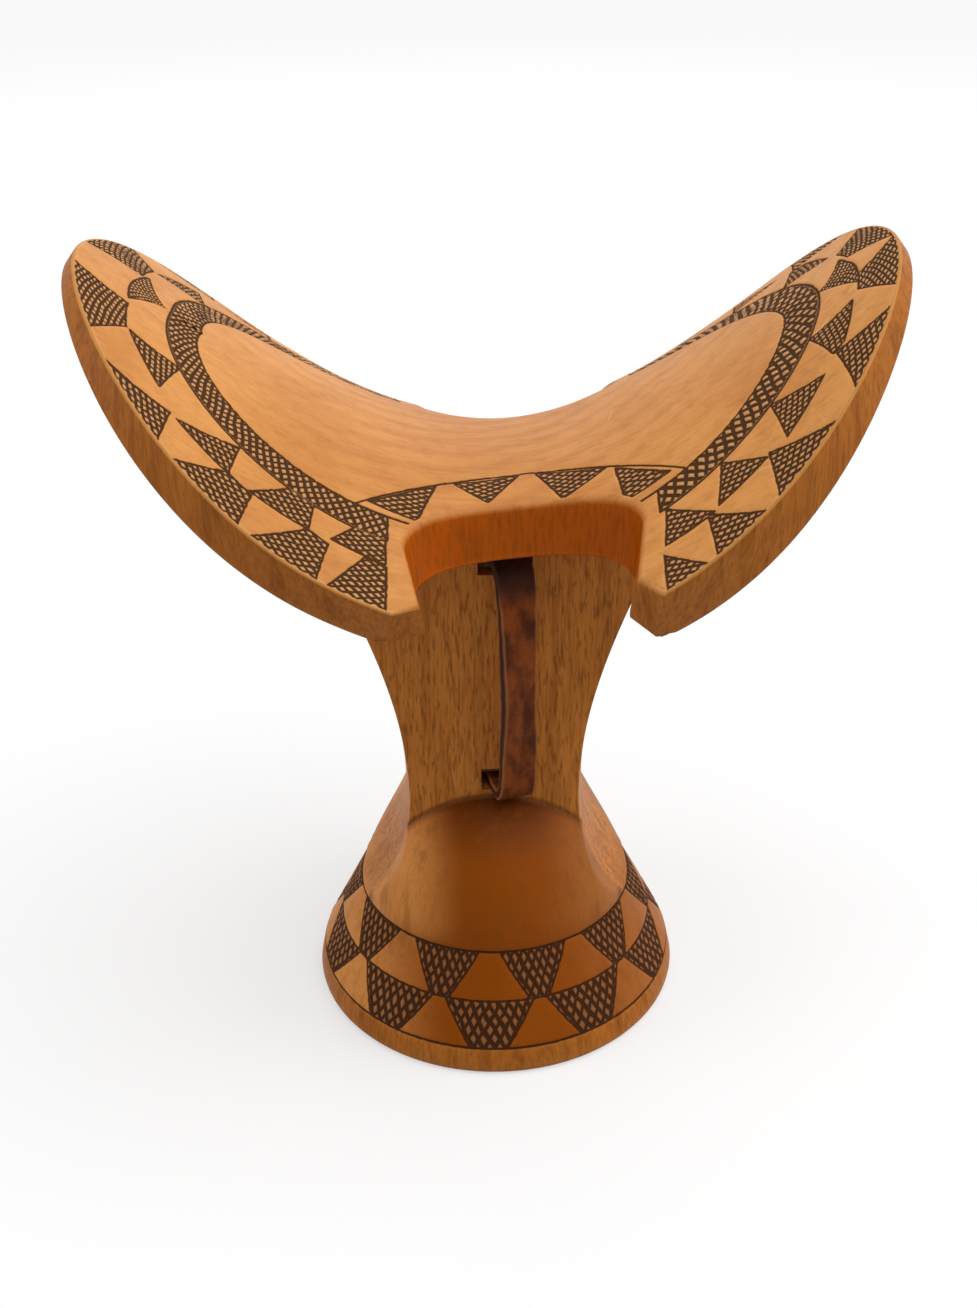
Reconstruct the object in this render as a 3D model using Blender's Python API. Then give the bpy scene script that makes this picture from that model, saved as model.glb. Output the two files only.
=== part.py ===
"""Carved wooden headrest stool: one carved block, its leather strap, and the wedges that hold the strap.

Metres, +Z up. The origin is the middle of the foot's underside, -Y is the front and +X the right-hand wing.
The block is a bell foot, a dome and a flat-faced column under a saddle whose two wings rise to round tips.
"""
import math

import bmesh
import bpy
from mathutils import Matrix, Vector

# Foot: a plain rim, a sloping band above it
FOOT_RADIUS = 0.0440
RIM_HEIGHT = 0.0070
RIM_ROUND = 0.0018
RIM_TAPER = 0.0011
BAND_TOP_RADIUS = 0.0328
BAND_TOP_HEIGHT = 0.0273

# Dome that swells out of the foot in front of the column's flat faces
DOME_RISE = 0.0330

# Column: flat front and back, scooped and slightly bulging flanks
COLUMN_DEPTH = 0.0260
WAIST_WIDTH = 0.0414
WAIST_HEIGHT = 0.0580
SCOOP_POWER = 1.9
SLAB_START = 0.25
FLANK_BULGE = 0.0012
FLANK_FLARE = 0.0300
FLARE_POWER = 2.0

# Saddle
SADDLE_HEIGHT = 0.1387
SADDLE_SPAN = 0.1640
SADDLE_DEPTH = 0.1048
OUTLINE_POWER_X = 3.7
OUTLINE_POWER_Y = 1.87
TIP_RISE = 0.0451
RISE_EASING = 0.30
EDGE_DROP = 0.0145
SADDLE_THICKNESS = 0.0105
TIP_THICKNESS = 0.0050
THINNING_POWER = 6.0
EDGE_THICKENING = 0.0015
RIGHT_THICKENING = 0.0015
RIGHT_REACH = 0.0030
WING_BLEND = 0.0300

# Notches in the saddle's two long edges
NOTCH_OFFSET = 0.0062
NOTCH_TOP_WIDTH = 0.0465
NOTCH_BOTTOM_WIDTH = 0.0445
NOTCH_WALL_TOP = 0.0238
NOTCH_WALL_BOTTOM = 0.0252
NOTCH_ROUNDING = 0.0135
MOUTH_CHAMFER_WIDTH = 0.0055
MOUTH_CHAMFER_DEPTH = 0.0032

# Strap and the two slots that it runs into
STRAP_WIDTH = 0.0085
STRAP_THICKNESS = 0.0025
STRAP_OFFSET = 0.0030
STRAP_DROP = 0.0197
STRAP_RISE = 0.0025
STRAP_BOW = 0.0080
STRAP_EXIT = 0.0020
STRAP_FULLNESS = 0.7
STRAP_LEAN = math.radians(15.0)
STRAP_TWIST = math.radians(22.0)
STRAP_SWING = math.radians(25.0)
PIVOT_DEPTH = 0.0015
TAIL_LENGTH = 0.0035
SLOT_CLEARANCE = 0.0005
WEDGE_HEIGHT = 0.0024
WEDGE_TIP_HEIGHT = 0.0014
WEDGE_RECESS = 0.0030
FIT_GAP = 0.0003

# Mesh fineness
RING_FRONT = 20
RING_FLANK = 8
RIM_POINTS = 3
FOOT_RINGS = 5
DOME_RINGS = 16
FLARE_RINGS = 10
OUTLINE_POINTS = 72
OUTLINE_RINGS = 8
CAP_RINGS = 4
NOTCH_POINTS = 16
STRAP_STATIONS = 12
CREASE = 0.0006
SHARP_ANGLE = math.radians(35.0)

# Worked out from the sizes above
FACE_Y = COLUMN_DEPTH / 2
WAIST_HALF = WAIST_WIDTH / 2
HALF_SPAN = SADDLE_SPAN / 2
HALF_DEPTH = SADDLE_DEPTH / 2
STRAP_TOP = SADDLE_HEIGHT - STRAP_DROP
STRAP_BOTTOM = WAIST_HEIGHT + STRAP_RISE
PIVOT_Y = -FACE_Y + PIVOT_DEPTH
TAIL_REACH = math.hypot(TAIL_LENGTH, STRAP_WIDTH / 2)
SLOT_DEPTH = PIVOT_DEPTH + TAIL_REACH + SLOT_CLEARANCE
MOUTH_REACH = PIVOT_DEPTH * math.tan(STRAP_SWING) + STRAP_WIDTH / 2 / math.cos(STRAP_SWING)
TAIL_SWEEP = TAIL_LENGTH * math.sin(STRAP_SWING) + STRAP_WIDTH / 2 * math.cos(STRAP_SWING)
SLOT_HALF_WIDTH = max(MOUTH_REACH, TAIL_SWEEP) + SLOT_CLEARANCE
SLOT_HEIGHT = STRAP_THICKNESS + WEDGE_HEIGHT + 3 * FIT_GAP


def clear_scene():
    for obj in list(bpy.data.objects):
        bpy.data.objects.remove(obj)


def principled(name, colour, roughness):
    material = bpy.data.materials.new(name)
    material.use_nodes = True
    shader = material.node_tree.nodes["Principled BSDF"]
    shader.inputs["Base Color"].default_value = (*colour, 1.0)
    shader.inputs["Roughness"].default_value = roughness
    shader.inputs["Metallic"].default_value = 0.0
    material.diffuse_color = (*colour, 1.0)
    return material


def mesh_object(name, points, faces, material=None):
    """One closed mesh object, its faces turned outwards."""
    mesh = bpy.data.meshes.new(name)
    mesh.from_pydata([tuple(p) for p in points], [], faces)
    work = bmesh.new()
    work.from_mesh(mesh)
    bmesh.ops.recalc_face_normals(work, faces=work.faces)
    work.to_mesh(mesh)
    work.free()
    obj = bpy.data.objects.new(name, mesh)
    bpy.context.scene.collection.objects.link(obj)
    if material:
        mesh.materials.append(material)
    return obj


def loft(name, rings, material=None):
    """Closed solid through rings of equally many points, each end closed by a fan round its middle."""
    count = len(rings[0])
    points = [p for ring in rings for p in ring]
    faces = []
    for level in range(len(rings) - 1):
        low, high = level * count, (level + 1) * count
        for i in range(count):
            j = (i + 1) % count
            faces.append((low + i, low + j, high + j, high + i))
    for ring in (0, len(rings) - 1):
        points.append(sum((Vector(p) for p in rings[ring]), Vector()) / count)
        centre = len(points) - 1
        faces += [(ring * count + i, ring * count + (i + 1) % count, centre) for i in range(count)]
    return mesh_object(name, points, faces, material)


def boolean(target, tool, operation):
    """Apply one exact Boolean to the target and drop the tool."""
    modifier = target.modifiers.new(operation.lower(), "BOOLEAN")
    modifier.operation = operation
    modifier.solver = "EXACT"
    modifier.object = tool
    evaluated = target.evaluated_get(bpy.context.evaluated_depsgraph_get())
    mesh = bpy.data.meshes.new_from_object(evaluated)
    target.modifiers.clear()
    target.data = mesh
    bpy.data.objects.remove(tool)


def smooth_max(a, b, width):
    """The larger of two lengths, with the crease between them rounded over the given width."""
    return 0.5 * (a + b + math.sqrt((a - b) ** 2 + width ** 2))


def saddle_top(x, y):
    """Height of the saddle's top: rising towards both tips, falling towards both long edges."""
    t = x / HALF_SPAN
    rise = TIP_RISE * ((1 + RISE_EASING) * t ** 2 - RISE_EASING * t ** 4)
    return SADDLE_HEIGHT + rise - EDGE_DROP * (y / HALF_DEPTH) ** 2


def saddle_normal(x, y):
    t = x / HALF_SPAN
    slope_x = TIP_RISE * (2 * (1 + RISE_EASING) * t - 4 * RISE_EASING * t ** 3) / HALF_SPAN
    slope_y = -2 * EDGE_DROP * y / HALF_DEPTH ** 2
    return Vector((-slope_x, -slope_y, 1.0)).normalized()


def right_share(x):
    """0 on the left wing and 1 on the right one, which is a little larger; eased round the middle."""
    share = min(max(0.5 + x / WING_BLEND / 2, 0.0), 1.0)
    return share * share * (3 - 2 * share)


def saddle_thickness(x, y):
    """Thickness of the saddle, which grows towards the long edges and thins out close to the tips."""
    gain = EDGE_THICKENING + RIGHT_THICKENING * right_share(x)
    full = SADDLE_THICKNESS + gain * (y / HALF_DEPTH) ** 4
    return full - (full - TIP_THICKNESS) * abs(x / HALF_SPAN) ** THINNING_POWER


def saddle_point(x, y, depth):
    """Point under the saddle's top, square to its surface; depth is a share of the thickness there."""
    return Vector((x, y, saddle_top(x, y))) - saddle_normal(x, y) * saddle_thickness(x, y) * depth


def signed_power(value, power):
    return math.copysign(abs(value) ** power, value)


def outline_point(angle, share):
    """Point of the saddle's plan outline, drawn in towards the middle by the given share."""
    x = HALF_SPAN * signed_power(math.cos(angle), 2 / OUTLINE_POWER_X)
    y = (HALF_DEPTH + RIGHT_REACH * right_share(x)) * signed_power(math.sin(angle), 2 / OUTLINE_POWER_Y)
    return x * share, y * share


def saddle_plate():
    angles = [2 * math.pi * (i + 0.5) / OUTLINE_POINTS for i in range(OUTLINE_POINTS)]
    shares = [(k + 1) / OUTLINE_RINGS for k in range(OUTLINE_RINGS)]
    rings = [[saddle_point(*outline_point(a, share), 0.0) for a in angles] for share in shares]
    rings += [[saddle_point(*outline_point(a, share), 1.0) for a in angles]
              for share in reversed(shares)]
    return loft("saddle_plate", rings)


def foot_profile():
    """Radius and height pairs of the rim and the band, from the floor up to the band's top line."""
    turn = [math.pi / 2 * i / RIM_POINTS for i in range(RIM_POINTS + 1)]
    rim = [(FOOT_RADIUS - RIM_ROUND * (1 - math.sin(a)), RIM_ROUND * (1 - math.cos(a))) for a in turn]
    line_radius = FOOT_RADIUS - RIM_TAPER
    band = []
    for i in range(FOOT_RINGS + 1):
        share = i / FOOT_RINGS
        radius = line_radius + (BAND_TOP_RADIUS - line_radius) * share
        band.append((radius, RIM_HEIGHT + (BAND_TOP_HEIGHT - RIM_HEIGHT) * share))
    return rim + band


def dome_radius(z):
    share = min((z - BAND_TOP_HEIGHT) / DOME_RISE, 1.0)
    return BAND_TOP_RADIUS * math.sqrt(1 - share ** 2)


def scoop_half_width(z):
    """Half-width between the scooped flanks, from the band's top line up to the waist."""
    share = (z - BAND_TOP_HEIGHT) / (WAIST_HEIGHT - BAND_TOP_HEIGHT)
    return WAIST_HALF + (BAND_TOP_RADIUS - WAIST_HALF) * (1 - share) ** SCOOP_POWER


def section(radius, half_width, slab):
    """Plan section: a round of the given radius, joined to the flat-faced slab where there is one,
    and cut off at the bulging flanks."""
    side = half_width - FLANK_BULGE
    corner_y = max(FACE_Y, math.sqrt(max(radius ** 2 - side ** 2, 0.0)))

    def round_at(offset):
        return math.sqrt(max(radius ** 2 - offset ** 2, 0.0))

    def flank_at(y):
        bulging = side + FLANK_BULGE * (1 - (y / corner_y) ** 2)
        return bulging if slab else min(bulging, round_at(y))

    corner_x = flank_at(corner_y)
    spread = math.atan2(corner_x, corner_y)
    half = []
    for i in range(RING_FRONT):
        x = corner_x * math.sin(spread * (2 * i / RING_FRONT - 1)) / math.sin(spread)
        half.append((x, -smooth_max(FACE_Y, round_at(x), CREASE) if slab else -round_at(x)))
    for i in range(RING_FLANK):
        y = corner_y * (2 * i / RING_FLANK - 1)
        half.append((flank_at(y), y))
    return half + [(-x, -y) for x, y in half]


def lower_rings():
    """Foot, dome and column up to the waist, at level heights."""
    seam = section(BAND_TOP_RADIUS, BAND_TOP_RADIUS, False)
    turns = [math.atan2(y, x) for x, y in seam]
    rings = []
    for radius, z in foot_profile()[:-1]:
        rings.append([(radius * math.cos(a), radius * math.sin(a), z) for a in turns])
    for i in range(DOME_RINGS + 1):
        share = i / DOME_RINGS
        z = BAND_TOP_HEIGHT + (WAIST_HEIGHT - BAND_TOP_HEIGHT) * share
        ring = section(dome_radius(z), scoop_half_width(z), share > SLAB_START)
        rings.append([(x, y, z) for x, y in ring])
    return rings


def flare_rings():
    """Column from the waist up into the middle of the saddle's thickness, closed there ring by ring."""
    rings = []
    for i in range(1, FLARE_RINGS + 1):
        share = i / FLARE_RINGS
        half_width = WAIST_HALF + FLANK_FLARE * share ** FLARE_POWER
        rings.append([flare_point(x, y, share) for x, y in section(0.0, half_width, True)])
    for i in range(1, CAP_RINGS):
        inset = 1 - i / CAP_RINGS
        rings.append([flare_point(p[0] * inset, p[1] * inset, 1.0) for p in rings[FLARE_RINGS - 1]])
    return rings


def flare_point(x, y, share):
    middle = saddle_top(x, y) - saddle_thickness(x, y) / 2
    return x, y, WAIST_HEIGHT + share * (middle - WAIST_HEIGHT)


def notch_ring(z, front):
    """Outline of a notch at one height, open past the saddle's edge; front is -1 or, at the back, +1."""
    share = 1 - (SADDLE_HEIGHT - z) / SADDLE_THICKNESS
    half = (NOTCH_BOTTOM_WIDTH + (NOTCH_TOP_WIDTH - NOTCH_BOTTOM_WIDTH) * share) / 2
    wall = NOTCH_WALL_BOTTOM + (NOTCH_WALL_TOP - NOTCH_WALL_BOTTOM) * share
    mouth = HALF_DEPTH - MOUTH_CHAMFER_DEPTH
    outside = HALF_DEPTH + SADDLE_THICKNESS
    wide = half + MOUTH_CHAMFER_WIDTH * (outside - mouth) / MOUTH_CHAMFER_DEPTH
    ring = [(-half, mouth), (-wide, outside), (wide, outside), (half, mouth)]
    for i in range(NOTCH_POINTS + 1):
        a = math.pi * i / NOTCH_POINTS
        ring.append((half * math.cos(a), wall + NOTCH_ROUNDING * (1 - math.sin(a))))
    return [(NOTCH_OFFSET + x, front * y, z) for x, y in ring]


def notch_cutter(front):
    low = saddle_point(0.0, HALF_DEPTH, 1.0).z - SADDLE_THICKNESS / 4
    high = SADDLE_HEIGHT + TIP_RISE / 2
    return loft("notch_cutter", [notch_ring(low, front), notch_ring(high, front)])


def slot_levels(z, inward):
    """Lowest and highest height of the slot round a strap end; its wedge lies on the inward side."""
    near = z - inward * (STRAP_THICKNESS / 2 + FIT_GAP)
    far = near + inward * SLOT_HEIGHT
    return min(near, far), max(near, far)


def box(name, low, high, material=None):
    x0, y0, z0 = low
    x1, y1, z1 = high
    rings = [[(x0, y0, z), (x1, y0, z), (x1, y1, z), (x0, y1, z)] for z in (z0, z1)]
    return loft(name, rings, material)


def slot_cutter(z, inward):
    low, high = slot_levels(z, inward)
    start = (STRAP_OFFSET - SLOT_HALF_WIDTH, -FACE_Y - SLOT_DEPTH, low)
    end = (STRAP_OFFSET + SLOT_HALF_WIDTH, -FACE_Y + SLOT_DEPTH, high)
    return box("slot_cutter", start, end)


def carved_body(material):
    body = loft("carved_body", lower_rings() + flare_rings(), material)
    boolean(body, saddle_plate(), "UNION")
    for front in (-1, 1):
        boolean(body, notch_cutter(front), "DIFFERENCE")
    boolean(body, slot_cutter(STRAP_TOP, -1), "DIFFERENCE")
    boolean(body, slot_cutter(STRAP_BOTTOM, 1), "DIFFERENCE")
    body.data.shade_smooth()
    body.data.set_sharp_from_angle(angle=SHARP_ANGLE)
    return body


def bezier(a, b, c, d, t):
    return a * (1 - t) ** 3 + 3 * b * t * (1 - t) ** 2 + 3 * c * t ** 2 * (1 - t) + d * t ** 3


def strap_path():
    """Middle line of the strap as (distance out from the pivot, height), from its upper to its lower end."""
    leave = PIVOT_DEPTH + STRAP_EXIT
    out = PIVOT_DEPTH + STRAP_BOW
    middle = (STRAP_TOP + STRAP_BOTTOM) / 2
    reach = (STRAP_TOP - STRAP_BOTTOM) / 2
    shoulder = [Vector((leave, STRAP_TOP)), Vector((out, STRAP_TOP)),
                Vector((out, middle + reach * STRAP_FULLNESS)), Vector((out, middle))]
    upper = [bezier(*shoulder, i / STRAP_STATIONS) for i in range(STRAP_STATIONS + 1)]
    lower = [Vector((p.x, STRAP_TOP + STRAP_BOTTOM - p.y)) for p in reversed(upper[:-1])]
    ends = (Vector((-TAIL_LENGTH, STRAP_TOP)), Vector((-TAIL_LENGTH, STRAP_BOTTOM)))
    return [ends[0]] + upper + lower + [ends[1]]


def strap(material):
    """Leather strip about its own pivot axis, leaning to the right and twisted further in its middle."""
    path = strap_path()
    rings = []
    for i, point in enumerate(path):
        along = path[min(i + 1, len(path) - 1)] - path[max(i - 1, 0)]
        across = Vector((along.y, -along.x)).normalized() * (STRAP_THICKNESS / 2)
        height_share = (point.y - STRAP_BOTTOM) / (STRAP_TOP - STRAP_BOTTOM)
        twist = Matrix.Rotation(STRAP_TWIST * math.sin(math.pi * height_share) ** 2, 3, "Z")
        centre = Vector((0.0, -point.x, point.y))
        ring = []
        for side, face in ((-1, -1), (1, -1), (1, 1), (-1, 1)):
            corner = Vector((side * STRAP_WIDTH / 2, -across.x * face, across.y * face))
            ring.append(centre + twist @ corner)
        rings.append(ring)
    piece = loft("strap", rings, material)
    piece.location = (STRAP_OFFSET, PIVOT_Y, 0.0)
    piece.rotation_euler = (0.0, 0.0, STRAP_LEAN)
    return piece


def wedge(name, z, inward, material):
    """Wooden wedge that fills the slot beside a strap end, thinner towards the back of the slot."""
    near = z + inward * (STRAP_THICKNESS / 2 + FIT_GAP)
    half = SLOT_HALF_WIDTH - FIT_GAP
    mouth, back = -FACE_Y + WEDGE_RECESS, -FACE_Y + SLOT_DEPTH - FIT_GAP
    rings = []
    for y, height in ((mouth, WEDGE_HEIGHT), (back, WEDGE_TIP_HEIGHT)):
        levels = (near, near + inward * height)
        rings.append([(STRAP_OFFSET + x, y, level) for level, sides in zip(levels, ((-1, 1), (1, -1)))
                      for x in (sides[0] * half, sides[1] * half)])
    return loft(name, rings, material)


def main():
    clear_scene()
    carved_body(principled("carved_wood", (0.45, 0.17, 0.045), 0.42))
    strap(principled("leather", (0.12, 0.045, 0.025), 0.6))
    wedge_wood = principled("wedge_wood", (0.30, 0.12, 0.04), 0.60)
    wedge("upper_wedge", STRAP_TOP, -1, wedge_wood)
    wedge("lower_wedge", STRAP_BOTTOM, 1, wedge_wood)


main()
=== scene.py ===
"""Looks of the carved headrest stool: the carved block with its incised bands, the leather strap, the wedges.

The block is rebuilt finer than the CAD solid from the same sizes, which are in millimetres here.
Its incised bands are carved into the mesh, and the same fields tell the wood's shader where the burnt
lines go.
"""
import math

import bmesh
import bpy
import numpy as np
from mathutils import Matrix, Vector
from mathutils.kdtree import KDTree


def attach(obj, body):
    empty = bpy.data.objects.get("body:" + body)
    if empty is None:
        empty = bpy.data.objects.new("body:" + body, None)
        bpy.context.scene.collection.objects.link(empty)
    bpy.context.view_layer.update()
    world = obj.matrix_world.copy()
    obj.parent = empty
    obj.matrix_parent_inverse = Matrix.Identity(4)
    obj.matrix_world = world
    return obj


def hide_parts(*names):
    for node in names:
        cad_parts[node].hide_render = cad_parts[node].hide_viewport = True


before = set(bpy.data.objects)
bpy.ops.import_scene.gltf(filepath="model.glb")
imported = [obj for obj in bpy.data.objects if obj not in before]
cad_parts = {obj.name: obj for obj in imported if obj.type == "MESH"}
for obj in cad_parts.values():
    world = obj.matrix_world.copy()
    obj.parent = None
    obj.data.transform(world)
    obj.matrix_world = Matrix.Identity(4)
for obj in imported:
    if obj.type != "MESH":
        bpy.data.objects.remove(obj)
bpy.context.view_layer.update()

MM = 0.001

# Foot and dome
FOOT_RADIUS = 44.0
RIM_HEIGHT = 7.0
RIM_ROUND = 1.8
RIM_TAPER = 1.1
BAND_TOP_RADIUS = 32.8
BAND_TOP_HEIGHT = 27.3
BAND_LOW_RADIUS = FOOT_RADIUS - RIM_TAPER
BAND_SLANT = math.hypot(BAND_LOW_RADIUS - BAND_TOP_RADIUS, BAND_TOP_HEIGHT - RIM_HEIGHT)
DOME_RISE = 33.0

# Column
FACE_Y = 13.0
WAIST_HALF = 20.7
WAIST_HEIGHT = 58.0
SCOOP_POWER = 2.4
SLAB_START = 0.25
FLANK_BULGE = 1.2
FLANK_FLARE = 30.0
FLARE_POWER = 2.0
CREASE = 0.35
CREASE_SHADE = 2.2

# Saddle
SADDLE_HEIGHT = 138.7
HALF_SPAN = 82.0
HALF_DEPTH = 52.4
OUTLINE_POWER_X = 3.7
OUTLINE_POWER_Y = 1.87
TIP_RISE = 45.1
RISE_EASING = 0.30
EDGE_DROP = 14.5
SADDLE_THICKNESS = 10.5
TIP_THICKNESS = 4.6
THINNING_POWER = 4.0
EDGE_THICKENING = 0.4
RIGHT_THICKENING = 2.4
RIGHT_REACH = 3.0
WING_BLEND = 30.0
EDGE_ROUND = 0.6

# Notches
NOTCH_OFFSET = 6.2
NOTCH_TOP_HALF = 23.25
NOTCH_BOTTOM_HALF = 22.25
NOTCH_WALL_TOP = 23.8
NOTCH_WALL_BOTTOM = 25.2
NOTCH_ROUNDING = 13.5
NOTCH_LIP = 1.1
LOWER_LIP = 0.8
LEFT_NARROWING = 3.0
RIGHT_NARROWING = 2.0
MOUTH_CHAMFER_DEPTH = 3.2
MOUTH_UNDERCUT = 5.0
FACET_BLEND = 4.0
LEFT_CHAMFER_SLOPE = 1.72
RIGHT_CHAMFER_SLOPE = 0.95
MOUTH_BEVEL = 2.0
MOUTH_FEATHER = 2.0
BEVEL_REACH = 16.0
BEVEL_START = 0.55
BEVEL_POWER = 4

# Strap and slots
STRAP_WIDTH = 8.5
STRAP_THICKNESS = 2.5
STRAP_OFFSET = 3.0
STRAP_TOP = 119.0
STRAP_BOTTOM = 60.5
STRAP_BOW = 8.0
STRAP_EXIT = 2.0
STRAP_FULLNESS = 0.7
STRAP_LEAN = math.radians(15.0)
STRAP_TWIST = math.radians(22.0)
STRAP_SWING = math.radians(25.0)
PIVOT_DEPTH = 1.5
TAIL_LENGTH = 3.5
SLOT_CLEARANCE = 0.5
WEDGE_HEIGHT = 2.4
FIT_GAP = 0.3
SLOT_DEPTH = PIVOT_DEPTH + math.hypot(TAIL_LENGTH, STRAP_WIDTH / 2) + SLOT_CLEARANCE
MOUTH_REACH = PIVOT_DEPTH * math.tan(STRAP_SWING) + STRAP_WIDTH / 2 / math.cos(STRAP_SWING)
TAIL_SWEEP = TAIL_LENGTH * math.sin(STRAP_SWING) + STRAP_WIDTH / 2 * math.cos(STRAP_SWING)
SLOT_HALF_WIDTH = max(MOUTH_REACH, TAIL_SWEEP) + SLOT_CLEARANCE
SLOT_HEIGHT = STRAP_THICKNESS + WEDGE_HEIGHT + 3 * FIT_GAP

# Incised pattern of the wings: run along the edge from the wing's tip, and distance in from the edge
MID_ROW = 9.5
LEFT_TRIANGLES = (
    ((6.2, 0.3), (27.1, 0.3), (24.4, 9.6), (13.3, 12.2)),
    ((35.1, 0.3), (54.6, 0.3), (49.7, 7.8)),
    ((59.0, 0.3), (76.3, 0.3), (74.1, 8.8), (67.0, 9.0)),
    ((79.4, 0.3), (94.3, 0.3), (93.2, 9.8), (87.9, 10.6)),
    ((96.7, 0.3), (110.5, 0.3), (106.5, 10.4), (101.6, 11.2)),
    ((25.3, 10.2), (42.8, 9.6), (36.8, 18.2)),
    ((51.5, 8.2), (67.4, 8.9), (63.5, 16.6)),
    ((73.2, 9.4), (87.9, 10.6), (85.6, 17.2), (79.0, 17.4)),
    ((93.2, 11.4), (101.6, 11.2), (106.0, 11.0), (103.4, 19.0), (97.6, 18.8)),
)
RIGHT_TRIANGLES = (
    ((0.0, 0.3), (19.5, 0.3), (15.1, 9.4), (7.5, 9.6)),
    ((25.3, 0.3), (45.2, 0.3), (35.9, 9.6)),
    ((52.8, 0.3), (70.6, 0.3), (63.9, 10.0)),
    ((74.1, 0.3), (86.5, 0.3), (82.5, 10.0)),
    ((88.7, 0.3), (98.5, 0.3), (95.8, 9.0)),
    ((18.6, 10.4), (32.8, 8.8), (36.4, 10.0), (29.3, 18.2)),
    ((42.2, 9.6), (59.0, 8.8), (51.9, 18.2)),
    ((64.8, 9.6), (79.4, 10.0), (71.0, 18.0)),
    ((80.8, 9.4), (93.6, 10.0), (88.3, 18.0)),
)
LEFT_TIP = ((-16.4, 13.0), (10.6, 12.6), (-0.4, 21.4))
RIGHT_TIP = ((-10.6, 11.0), (2.7, 9.8), (11.5, 9.6), (2.7, 18.6))
HATCH_TO_NOTCH = 3.4

# Hatched strip inside the triangles: inset, swell at the tip and reach of the swell, for its two sides
LEFT_STRIP = ((17.0, 5.4, 28.0), (23.5, 6.2, 30.0))
RIGHT_STRIP = ((18.2, 0.6, 20.0), (23.6, 3.4, 55.0))
STRIP_BLEND = 24.0

# Panel behind the front notch: its curved top line and the hatched triangles that hang from it, in plan
PANEL_LINE = -12.9
PANEL_SAG = 15.0
PANEL_CENTRE = 6.0
PANEL_REACH = 31.0
PANEL_TRIANGLES = (
    ((-24.5, -27.7), (-10.9, -17.0), (-14.7, -29.4)),
    ((-7.6, -16.0), (6.1, -12.9), (-0.5, -21.9)),
    ((9.2, -12.9), (23.8, -17.9), (14.6, -23.6)),
    ((25.3, -19.2), (35.5, -27.8), (28.0, -29.8), (26.5, -28.6)),
)

# Incised band of the foot: two rows of cells, with the half-widths of the hatched cells as shares of a cell
FOOT_CELLS = 10
FOOT_TURN = math.radians(-93.0)
FOOT_MID = 0.49
UPPER_HATCH = (0.09, 0.385)
LOWER_HATCH = (0.16, 0.435)

# Hatching: length and width of its diamonds, and its count round the foot
WING_HATCH = (2.75, 1.4)
LEFT_STRIP_HATCH = (2.0, 2.2)
RIGHT_STRIP_HATCH = (2.6, 3.2)
FOOT_HATCH_COUNT = 110
FOOT_HATCH_HEIGHT = 4.2

# Carving: depths, half width of the lines, and how the hatching fades in from its outline
GROOVE_DEPTH = 0.25
GROOVE_HALF = 0.5
HATCH_DEPTH = 0.22
HATCH_MARGIN = 0.1
HATCH_FADE = 0.5

# Reach and strength of the surface fields
WEAR_WIDTH = 0.3
RIM_WEAR = 0.2
UNDERSIDE_WALL = 0.8
DOME_BLEND = 6.0
CREASE_MARGIN = 0.5
NOTCH_MARGIN = 4.0

# Mesh fineness: counts, and the widest step and weld in millimetres
EDGE_STATIONS = 1184
ROW_STEP = 0.44
PANEL_LEFT, PANEL_RIGHT = -32.0, 46.0
FOOT_STATIONS = 440
BAND_ROWS = 42
SECTION_FRONT = 76
SECTION_FLANK = 34
OUTLINE_SAMPLES = 40001
DOME_RINGS = 64
FLARE_RINGS = 40
NOTCH_CURVE = 61
NOTCH_SIDE = 14
STRAP_STATIONS = 40
TAIL_STATIONS = 7
WELD = 0.002

# Rings of the mesh: shares of the way, turns in degrees, insets and heights
FINE_UP_TO = 0.60
COARSE_SHARES = (0.66, 0.74, 0.82, 0.91, 1.0)
MEDIAL_STRAIGHT = 36.0
MEDIAL_EASING = 0.6
EDGE_TURNS = (22.5, 45.0, 67.5, 90.0)
WALL_SHARES = (0.15, 0.3, 0.5, 0.7, 0.85)
LOWER_EDGE_TURNS = (0.0, 30.0, 60.0)
UNDERSIDE_INSETS = (EDGE_ROUND, 4.0, 9.0, 15.0, 22.0)
UNDERSIDE_SHARES = (0.15, 0.3, 0.45, 0.6, 0.8, 1.0)
RIM_TURNS = (0.0, *EDGE_TURNS)
RIM_HEIGHTS = (3.5, 5.2, 6.2)
DOME_CROWDING = 1.4
CAP_SHARES = (0.8, 0.6, 0.4, 0.2)
NOTCH_SHARES = (0.25, 0.4, 0.55, 0.7, 0.8, 0.86, 0.91)
LIP_TURNS = (0.0, 30.0, 60.0, 90.0)

# Angles from which an edge is drawn sharp, and the distance that stands for "not near"
WOOD_SHARP = math.radians(40.0)
LEATHER_SHARP = math.radians(50.0)
FAR = 9.0

# Unevenness of the strap's width: size, rate along it and start
WIDTH_WAVES = ((0.02, 0.31, 1.0), (0.012, 1.1, 0.0))

# Wood's tones, as 8-bit levels
COLUMN_TONE = (208, 130, 56)
TOP_TONE = (226, 157, 88)
WALL_TONE = (184, 110, 40)
NOTCH_TONE = (190, 88, 4)
DOME_TONE = (144, 70, 3)
# Painted highlights: the side lamps' sheen on the dome's left and right shoulders
DOME_LEFT_HIGHLIGHT_TONE = (222, 146, 74)
DOME_RIGHT_HIGHLIGHT_TONE = (180, 114, 56)
# Painted shadow of the strap on the dome's top, with some grime
STRAP_SHADOW_AND_GRIME_TONE = (84, 36, 3)
BLOTCH_TONE = (168, 88, 26)
RING_TONE = (190, 118, 62)
# Painted shade in the middle of the seat, between the wings
MIDDLE_SHADE_TONE = (196, 128, 74)
STREAK_TONE = (132, 70, 18)
HAIR_TONE = (116, 62, 18)
FLECK_TONE = (84, 44, 10)
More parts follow.
